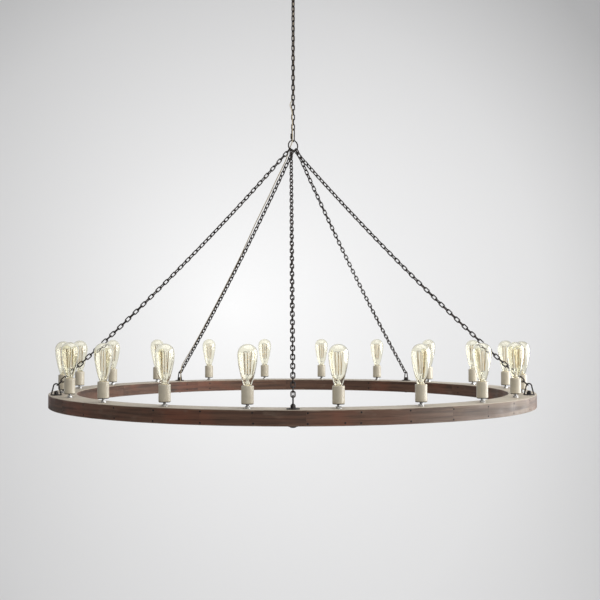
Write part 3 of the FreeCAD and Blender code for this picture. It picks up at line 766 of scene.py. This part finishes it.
ACROSS = heading(HUB_AZIMUTH + QUARTER_TURN)
quick_points = []
for centre, start in ((MAIN_BOTTOM + SEAT / 2 - QUICK_INNER_RADIUS, 0), (QUICK_BOTTOM + QUICK_INNER_RADIUS, 180)):
    for k in range(13):
        angle = radians(start + 15 * k)
        quick_points.append(UP * centre + (ACROSS * cos(angle) + UP * sin(angle)) * QUICK_BOW)
quick_build = one(sweep(quick_points, QUICK_WIRE / 2, 16, True, heading(HUB_AZIMUTH)))
quick_link = quick_build.object("quick_link_form", [DARK_IRON])
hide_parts("quick_link")
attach(quick_link, "quick_link")
sleeve_bottom = QUICK_BOTTOM - QUICK_WIRE / 2 + SLEEVE_HEIGHT
sleeve_build = Build()
sleeve_build.placed(one(hexagon(9.0, sleeve_bottom, sleeve_bottom + SLEEVE_LENGTH, 2.32, 1.0)),
                    Matrix.Translation(ACROSS * QUICK_BOW) @ Matrix.Rotation(radians(HUB_AZIMUTH), 4, "Z"))
sleeve = sleeve_build.object("quick_link_sleeve_form", [DARK_IRON], 25)
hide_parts("quick_link_sleeve")
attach(sleeve, "quick_link_sleeve")


# ---- Ceiling hardware ----

canopy_line = smooth_line([(63.45, 0, 0), (63.3, -4, 0), (62.0, -9.8, 0), (57.5, -16.2, 0), (50.0, -21.0, 0),
                           (40.0, -24.8, 0), (28.0, -28.0, 0)], 5)
outside = [(p.x, p.y) for p in canopy_line]
inside = [(r - 1.0 if z > -18 else r - 0.5, min(z + 1.1, 0.0) if z < -18 else min(z + 0.2, 0.0))
          for r, z in reversed(outside)]
canopy_build = one(lathe(outside + [(13.6, -28.0), (13.6, -26.8)] + inside, 96))
canopy = canopy_build.object("canopy_form", [BRONZE])
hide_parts("canopy")
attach(canopy, "ceiling_fitting")

collar_build = Build()
collar_profile = [(5.0, -14.0), (12.1, -14.0)]
height = -14.6
while height > -33.6:
    collar_profile += [(12.15, height), (12.65, height - 0.45), (12.65, height - 0.8)]
    height -= 1.25
collar_profile += [(12.15, -34.2), (12.6, -34.6), (12.6, -36.6), (11.6, -38.0), (5.0, -38.0)]
collar_build.add(*lathe(collar_profile, 48))
loop_points = circle(UP * LOOP_CENTRE, heading(45.0), UP, 10.6, 48)
collar_build.add(*sweep(loop_points, 2.4, 14, True, heading(-45.0)))
loop = collar_build.object("canopy_loop_form", [BRONZE])
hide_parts("canopy_loop")
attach(loop, "ceiling_fitting")

# Ring nut with a knurled rim, in which every third point lies lower
nut_build = Build()
nut_points = ((13.0, -28.0, 0), (15.8, -28.0, 0), (16.9, -28.6, 0.5), (16.9, -32.9, 0.5), (15.8, -33.5, 0),
              (13.0, -33.5, 0))
count = 96
verts = []
for radius, height, knurl in nut_points:
    for k in range(count):
        reach = radius - (0 if k % 3 else knurl)
        verts.append((reach * cos(2 * pi * k / count), reach * sin(2 * pi * k / count), height))
faces = []
for i in range(len(nut_points)):
    lower = i * count
    upper = (i + 1) % len(nut_points) * count
    faces += [(lower + k, lower + (k + 1) % count, upper + (k + 1) % count, upper + k) for k in range(count)]
nut_build.add(verts, faces)
ring_nut = nut_build.object("collar_nut_form", [BRONZE])
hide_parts("collar_nut")
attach(ring_nut, "ceiling_fitting")

nipple_top = one(lathe([(3.0, -26.0)] + thread(4.35, 4.85, -26.0, 0.0, 1.27, 0.4) + [(3.0, 0.0)], 32))
nipple_form = nipple_top.object("ceiling_nipple_form", [ZINC])
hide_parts("ceiling_nipple")
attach(nipple_form, "ceiling_fitting")
locknut = one(hexagon(15.4, -6.0, -2.0, 4.95, 0.7)).object("ceiling_locknut_form", [ZINC], 25)
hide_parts("ceiling_locknut")
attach(locknut, "ceiling_fitting")
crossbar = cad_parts["ceiling_crossbar"]
crossbar.data.materials.clear()
crossbar.data.materials.append(ZINC)


# ---- Rim ----

GROOVE_IN = GROOVE_RADIUS - GROOVE_WIDTH / 2
GROOVE_OUT = GROOVE_RADIUS + GROOVE_WIDTH / 2
GROOVE_TOP = RIM_BOTTOM + GROOVE_DEPTH
OUTER = RIM_OUTER - 0.5


def rim_section(shrink):
    """Loop of (radius, height) round a block's section, drawn in by a little at its ends."""
    bevel = 1.3
    outer = OUTER - shrink
    inner = RIM_INNER + shrink
    top = RIM_TOP - shrink
    bottom = RIM_BOTTOM + shrink
    return [(outer, bottom + bevel), (outer, (top + bottom) / 2), (outer, top - bevel), (outer - bevel, top),
            (870.0, top), (inner + bevel, top), (inner, top - bevel), (inner, bottom + bevel),
            (inner + bevel, bottom), (GROOVE_IN - shrink, bottom), (GROOVE_IN - shrink, GROOVE_TOP + shrink),
            (GROOVE_OUT + shrink, GROOVE_TOP + shrink), (GROOVE_OUT + shrink, bottom), (outer - bevel, bottom)]


rim_build = Build()
grain_values = []
block_values = []
STEPS = 10
SEAM = degrees(0.05 / OUTER)
SEAM_BEVEL = 0.2
LIP = degrees(0.3 / OUTER)
for block in range(BLOCKS):
    first = FIRST_BLOCK + BLOCK_TURN * block
    if block % 3 == 0:
        # One length of lumber gives three blocks
        offset = Vector((rng.uniform(0, 9), rng.uniform(0, 9), rng.uniform(0, 9)))
    tone = rng.random()
    turns = [(first + SEAM, SEAM_BEVEL), (first + SEAM + LIP, 0.0)]
    turns += [(first + BLOCK_TURN * k / STEPS, 0.0) for k in range(1, STEPS)]
    turns += [(first + BLOCK_TURN - SEAM - LIP, 0.0), (first + BLOCK_TURN - SEAM, SEAM_BEVEL)]
    verts = []
    for azimuth, shrink in turns:
        way = heading(azimuth)
        for radius, z in rim_section(shrink):
            verts.append(way * radius + UP * z)
            grain_values.append((radians(azimuth) * LAMP_RADIUS * MM + offset.x, radius * MM + offset.y,
                                 z * MM + offset.z))
            block_values.append(tone)
    size = len(rim_section(0.0))
    faces = []
    for i in range(len(turns) - 1):
        for k in range(size):
            m = (k + 1) % size
            faces.append((i * size + k, (i + 1) * size + k, (i + 1) * size + m, i * size + m))
    faces.append(tuple(range(size)))
    faces.append(tuple(reversed(range((len(turns) - 1) * size, len(turns) * size))))
    rim_build.add(verts, faces)


def with_grain(made, grain, blocks):
    """Stores where each vertex lies along and across its piece of wood, and the piece's own number."""
    layer = made.data.attributes.new("grain", "FLOAT_VECTOR", "POINT")
    layer.data.foreach_set("vector", [c for value in grain for c in value])
    layer = made.data.attributes.new("block", "FLOAT", "POINT")
    layer.data.foreach_set("value", blocks)
    return made


rim = with_grain(rim_build.object("rim_wood_blocks", [WOOD], 28), grain_values, block_values)
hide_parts("rim_blocks")
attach(rim, "wheel")


def arc_strip(build, inner, outer, bottom, top, start, end, steps):
    """Curved flat strip with its wood coordinates."""
    grain = []
    verts = []
    for k in range(steps + 1):
        azimuth = start + (end - start) * k / steps
        for radius, z in ((outer, bottom), (outer, top), (inner, top), (inner, bottom)):
            verts.append(heading(azimuth) * radius + UP * z)
            grain.append((radians(azimuth) * LAMP_RADIUS * MM, radius * MM, z * MM))
    faces = []
    for i in range(steps):
        for k in range(4):
            m = (k + 1) % 4
            faces.append((i * 4 + k, (i + 1) * 4 + k, (i + 1) * 4 + m, i * 4 + m))
    faces.append((0, 1, 2, 3))
    faces.append((steps * 4 + 3, steps * 4 + 2, steps * 4 + 1, steps * 4))
    build.add(verts, faces)
    return grain


strip_build = Build()
strip_grain = []
strip_tones = []
for k in range(BRACKETS):
    start = FIRST_BRACKET + BRACKET_TURN * k
    values = arc_strip(strip_build, GROOVE_IN + 0.3, GROOVE_OUT - 0.3, RIM_BOTTOM + 0.05, RIM_BOTTOM + 4.0,
                       start + 0.03, start + BRACKET_TURN - 0.03, 72)
    shift = rng.uniform(0, 5)
    strip_grain += [(a + shift, b + shift, c) for a, b, c in values]
    strip_tones += [rng.random()] * len(values)
strips = with_grain(strip_build.object("groove_strips", [STRIP_WOOD], 28), strip_grain, strip_tones)
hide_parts("groove_covers")
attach(strips, "wheel")

wiring_build = Build()
cable_points = [heading(2.0 * k) * GROOVE_RADIUS + UP * (RIM_BOTTOM + 6.0) for k in range(180)]
wiring_build.add(*sweep(cable_points, 2.0, 8, True, UP))
for k in range(LAMPS):
    place = heading(FIRST_LAMP + LAMP_TURN * k) * LAMP_RADIUS
    wiring_build.add(*sweep([place + UP * (RIM_BOTTOM + 7.0), place + UP * (RIM_BOTTOM + 16.0),
                             place + UP * GROOVE_TOP], 1.2, 8))
wiring = wiring_build.object("rim_cable", [RUBBER])
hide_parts("rim_wiring")
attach(wiring, "wheel")

# Nails, in pairs on the faces of the rim
nail = Build()
nail.add(*lathe([(0.0, 0.5), (1.4, 0.42), (2.5, 0.22), (3.0, 0.0), (3.0, -2.0), (0.0, -2.0)], 14, False))
nail_build = Build()


def put_nail(azimuth, height, inner=False):
    """Adds a nail to the outer or the inner face."""
    turn = Matrix.Rotation(radians(-QUARTER_TURN if inner else QUARTER_TURN), 4, "Y")
    radius = RIM_INNER - 0.05 if inner else OUTER - 0.05
    nail_build.placed(nail, at(radius, azimuth, height) @ turn)


for k in range(BLOCKS):
    azimuth = -87.4 + BLOCK_TURN * k
    put_nail(azimuth + rng.uniform(-0.12, 0.12), RIM_TOP - 8.5 + rng.uniform(-1.2, 1.2))
    put_nail(azimuth + rng.uniform(-0.12, 0.12), RIM_BOTTOM + 7.5 + rng.uniform(-1.2, 1.2))
    if rng.random() < 0.25:
        put_nail(azimuth + rng.uniform(-1.6, 1.6), RIM_BOTTOM + 12.0 + rng.uniform(-2, 2))
put_nail(-80.4, RIM_BOTTOM + 9.0)
for azimuth in (29.6, 118.1, 126.3, 64.5, -12.0, -46.5, -101.0, -142.0, 163.0):
    put_nail(azimuth, RIM_TOP - 12.0, True)
    put_nail(azimuth, RIM_BOTTOM + 12.0, True)
nails = nail_build.object("rim_nails", [NAIL_IRON])
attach(nails, "wheel")


# ---- Brackets ----

plate_form = one(lathe([(5.0, 0.0), (19.6, 0.0), (20.0, 0.4), (20.0, 2.3), (19.3, 3.0), (5.0, 3.0)], 48))
bail_points = [Vector((-17.0, 0, 0.4)), Vector((-16.3, 0, 3.0))]
bail_points += [Vector((-16.3 + 6.3 * t, 0, 3.0 + 22.5 * t)) for t in (0.25, 0.5, 0.75)]
for k in range(15):
    angle = radians(172.0 - 164.0 * k / 14)
    bail_points.append(Vector((BAIL_RADIUS * cos(angle), 0, BAIL_LEG + BAIL_RADIUS * sin(angle))))
bail_points += [Vector((-p.x, 0, p.z)) for p in reversed(bail_points[:5])]
bail_form = Build()
bail_form.add(*sweep(bail_points, 2.4, 14, False, Vector((0, 1, 0))))
for side in (-1, 1):
    # Weld bead round each foot
    bead = one(lathe([(0.0, 2.2), (1.6, 2.0), (2.9, 1.2), (3.5, 0.0), (0.0, -0.4)], 18, False))
    bail_form.placed(bead, Matrix.Translation((side * 16.6, 0, 0)))
nut_dome = [(6.3, 9.3), (6.2, 10.0), (5.6, 11.4), (4.4, 12.4), (2.6, 12.9), (1.0, 13.0)]
nut_form = one(hexagon(13.9, 0.0, 9.0, 4.9, 1.0, nut_dome))
washer_form = one(lathe([(5.0, -2.5), (14.6, -2.5), (15.0, -2.1), (15.0, -0.4), (14.6, 0.0), (5.0, 0.0)], 40))
bolt_line = [(0.0, -4.0), (3.5, -3.9), (6.6, -3.3), (9.2, -2.2), (10.8, -0.8), (11.0, 0.0), (4.7, 0.0),
             (4.7, 60.0), (0.0, 61.0)]
bolt_form = one(lathe(bolt_line, 32, False))


def ring_of(form, count, first, radius, height, spin):
    """Copies of a form round the wheel in one build, each turned by chance up to the spin either way."""
    build = Build()
    for k in range(count):
        turn = Matrix.Rotation(radians(rng.uniform(-spin, spin)), 4, "Z")
        build.placed(form, at(radius, first + 360.0 / count * k, height) @ turn)
    return build


for name, form, height, node, sharp, spin in (
        ("bracket_plate_discs", plate_form, RIM_TOP, "bracket_plates", 35, 0),
        ("bail_eyes", bail_form, RIM_TOP + PLATE, "bails", 60, 0),
        ("cap_nut_forms", nut_form, RIM_TOP + PLATE, "cap_nuts", 25, 30),
        ("washer_discs", washer_form, RIM_BOTTOM, "under_washers", 35, 0),
        ("bracket_bolt_forms", bolt_form, RIM_BOTTOM - 2.5, "bracket_bolts", 40, 0)):
    placed_forms = ring_of(form, BRACKETS, FIRST_BRACKET, BRACKET_RADIUS, height, spin)
    piece = placed_forms.object(name, [DARK_IRON], sharp)
    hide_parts(node)
    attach(piece, "wheel")


# ---- Lamp holders ----

lamp_nipple = Build()
low = GROOVE_TOP - RIM_TOP
nipple_line = [(0.0, low), (4.35, low)] + thread(4.35, 4.85, low + 0.2, 21.5, 1.0, 0.4) + [(0.0, 22.0)]
lamp_nipple.add(*lathe(nipple_line, 28, False))
lamp_nipple.add(*hexagon(15.6, 1.0, 6.2, 4.7, 0.9))
lamp_nipple.add(*lathe([(5.2, 0.0), (9.6, 0.0), (9.8, 0.3), (9.6, 1.0), (5.2, 1.0)], 32))
nipple_ring = ring_of(lamp_nipple, LAMPS, FIRST_LAMP, LAMP_RADIUS, RIM_TOP, 30)
nipples = nipple_ring.object("lamp_nipples", [NICKEL], 25)
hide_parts("socket_nipples")
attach(nipples, "wheel")

socket_line = [(5.1, 2.1), (17.6, 2.1), (18.4, 2.4), (18.7, 3.2), (18.75, 5.0), (18.55, 20.0), (18.6, 46.0),
               (18.75, 50.5), (18.7, 52.8), (18.1, 54.2), (17.0, 54.9), (15.6, 54.9), (14.5, 54.1), (14.2, 52.6),
               (14.2, 26.5), (13.6, 26.0), (5.1, 26.0)]
socket_form = Build()
socket_form.add(*lathe(socket_line, 56), 0)
socket_form.add(*lathe([(5.0, 0.0), (17.0, 0.0), (18.0, 0.5), (18.1, 2.2), (5.0, 2.2)], 48), 1)
shell_line = [(13.15, 27.0)]
height = 28.0
while height < 49.5:
    shell_line += [(13.15, height), (13.75, height + 1.2), (13.75, height + 2.2)]
    height += 3.63
shell_line += [(13.15, 51.0), (13.9, 51.6), (14.1, 51.6), (14.1, 27.0)]
socket_form.add(*lathe(shell_line, 40), 2)
socket_ring = ring_of(socket_form, LAMPS, FIRST_LAMP, LAMP_RADIUS, SOCKET_BOTTOM, 180)
sockets = socket_ring.object("porcelain_sockets", [PORCELAIN, DARK_IRON, BRASS], 40)
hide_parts("socket_bodies")
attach(sockets, "wheel")

contact_form = one(lathe([(0.0, 3.6), (2.2, 3.5), (3.8, 2.6), (4.4, 0.0), (0.0, 0.0)], 24, False))
contact_ring = ring_of(contact_form, LAMPS, FIRST_LAMP, LAMP_RADIUS, SOCKET_BOTTOM + 26.0, 0)
contacts = contact_ring.object("socket_contact_springs", [BRASS])
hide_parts("socket_contacts")
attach(contacts, "wheel")


# ---- Bulbs ----

glass_points = [(12.5, 0, 0), (12.9, 3.5, 0), (14.9, 10, 0), (18.2, 20, 0), (22.0, 35, 0), (26.2, 55, 0),
                (29.2, 73, 0), (30.45, 88, 0), (30.0, 98.5, 0), (27.4, 108, 0), (22.2, 115.4, 0), (15.0, 120.6, 0),
                (7.6, 123.4, 0), (0.0, 124.0, 0)]
glass_line = [(max(p.x, 0.0), p.y) for p in smooth_line(glass_points, 3)]
GLASS_WALL = 0.9
GLASS_SHOULDER = 90
GLASS_CROWN = 34
# Above its shoulder the inside also stays below the outside, by the whole wall at the top
glass_inner = [(max(r - GLASS_WALL, 0.0), z - max(GLASS_WALL * (z - GLASS_SHOULDER) / GLASS_CROWN, 0.0))
               for r, z in reversed(glass_line)]

cap_line = [(0.0, -24.9), (3.2, -24.8), (4.2, -24.0), (4.4, -22.8), (9.6, -20.6), (11.9, -19.6)]
height = -19.0
while height < -4.5:
    cap_line += [(12.15, height), (12.95, height + 1.2), (12.95, height + 2.0)]
    height += 3.63
cap_line += [(12.3, -2.4), (12.6, -1.6), (12.75, 0.6), (12.4, 0.9), (0.0, 0.9)]

bulb_form = Build()
bulb_form.add(*lathe(glass_line + glass_inner, 48, False), 0)
bulb_form.add(*lathe(cap_line, 40, False), 1)
stem_line = [(0.0, 1.0), (9.5, 1.0), (8.6, 4.0), (6.2, 10.0), (4.0, 18.0), (3.1, 24.0), (2.9, 30.0), (2.4, 33.5),
             (0.0, 34.5)]
bulb_form.add(*lathe(stem_line, 20, False), 2)
# The filament runs up and down between the upper and the lower support hooks
STRANDS = 18
cage = []
for k in range(STRANDS):
    out = heading(360.0 * k / STRANDS)
    if k % 2 == 0:
        hook = [out * 2.4 + UP * 99.6, out * 7.0 + UP * 100.6, out * 12.2 + UP * 100.2]
        cage.append(out * 12.2 + UP * 100.4)
    else:
        hook = [out * 2.2 + UP * 31.0, out * 5.6 + UP * 31.8, out * 9.0 + UP * 34.0]
        cage.append(out * 9.0 + UP * 33.6)
    bulb_form.add(*sweep(hook, 0.32, 6), 4)
bulb_form.add(*sweep(cage, 0.5, 6, True), 3)
# Spider ring that the upper hooks spring from, and the rod in the middle
bulb_form.add(*sweep(circle(UP * 100.8, heading(0), heading(90), 11.6, 24), 0.55, 6, True, UP), 4)
bulb_form.add(*sweep([UP * 33.0, UP * 99.0], 1.15, 8), 3)
for side in (-1, 1):
    # Lead-in wires, from the stem's press up to the ends of the filament
    lead = [Vector((side * 1.6, 0, 12.0)), Vector((side * 3.6, 0, 26.0)), Vector((side * 9.0, 0, 35.0))]
    bulb_form.add(*sweep(lead, 0.4, 6), 4)
first_lamp = bulb_form.object("bulb_lamp_01", [BULB_GLASS, BRASS, STEM_GLASS, FILAMENT, NICKEL], 45)
for number in range(1, LAMPS + 1):
    if number == 1:
        lamp = first_lamp
    else:
        lamp = bpy.data.objects.new("bulb_lamp_%02d" % number, first_lamp.data)
        bpy.context.scene.collection.objects.link(lamp)
    place = at(LAMP_RADIUS, FIRST_LAMP + LAMP_TURN * (number - 1), SOCKET_TOP)
    place = place @ Matrix.Rotation(rng.uniform(0, 2 * pi), 4, "Z")
    place.translation = place.translation * MM
    lamp.matrix_world = place
    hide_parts("bulb_%02d" % number)
    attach(lamp, "bulb_%02d" % number)


# ---- Studio ----

def studio_material():
    """Plain pale paper sweep with a painted pool of light glowing brightest behind the middle."""
    n = Nodes("studio_paper")
    place = n.add("ShaderNodeTexCoord")
    parts = n.add("ShaderNodeSeparateXYZ", {"Vector": (place, "Object")})
    across = n.math("ADD", (parts, "X"), 0.45)
    rise = n.math("SUBTRACT", (parts, "Z"), -1.2)
    distance = n.math("SQRT", n.math("ADD", n.math("MULTIPLY", across, across), n.math("MULTIPLY", rise, rise)))
    # Painted light: the paper glows in a pool of light, brightest behind the middle and fading outwards
    painted_light_pool = n.ramp(remap(n, distance, 0.0, 3.4, 0.0, 1.0),
                  [(0.0, (0.68, 0.68, 0.68)), (0.37, (0.5, 0.5, 0.501)), (0.68, (0.38, 0.38, 0.381)),
                   (1.0, (0.19, 0.19, 0.191))])
    n.join(painted_light_pool[0], "Color", n.shader, "Emission Color")
    return n.surface((0.3, 0.3, 0.301), 0.9, Emission_Strength=1.0)


# Paper, in metres: a level floor that bends up into an upright back
BEND = 1.8
BEND_START = 1.6
FLOOR = -3.6
PAPER_REACH = 9.0
sweep_line = [(-PAPER_REACH, FLOOR)]
sweep_line += [(BEND_START + BEND * sin(radians(a)), FLOOR + BEND - BEND * cos(radians(a))) for a in range(0, 91, 6)]
sweep_line += [(BEND_START + BEND, 3.5)]
paper = bpy.data.meshes.new("studio_floor")
paper.from_pydata([(x, y, z) for y, z in sweep_line for x in (-PAPER_REACH, PAPER_REACH)], [],
                  [(2 * i, 2 * i + 1, 2 * i + 3, 2 * i + 2) for i in range(len(sweep_line) - 1)])
paper.materials.append(studio_material())
paper.shade_smooth()
floor = bpy.data.objects.new("studio_floor", paper)
bpy.context.scene.collection.objects.link(floor)


def area_light(name, place, aim, width, height, power):
    """White soft box, with places and sizes in metres and its power in watts."""
    data = bpy.data.lights.new(name, "AREA")
    data.shape = "RECTANGLE"
    data.size = width
    data.size_y = height
    data.energy = power
    made = bpy.data.objects.new(name, data)
    made.location = place
    made.rotation_euler = (Vector(aim) - Vector(place)).to_track_quat("-Z", "Y").to_euler()
    bpy.context.scene.collection.objects.link(made)


area_light("top_light", (0.3, -0.6, 1.6), (0, 0.2, -1.6), 4.0, 3.5, 100)
area_light("right_light", (3.3, -0.3, -1.0), (0.0, -0.3, -1.6), 4.6, 2.6, 190)
area_light("front_fill", (1.0, -4.6, -0.6), (0, 0, -1.6), 3.0, 2.0, 26)

world = bpy.data.worlds.new("studio_air")
bpy.context.scene.world = world
world.use_nodes = True
world.node_tree.nodes["Background"].inputs["Color"].default_value = (0.9, 0.9, 0.92, 1.0)
world.node_tree.nodes["Background"].inputs["Strength"].default_value = 0.36
bpy.context.scene.view_settings.view_transform = "Standard"
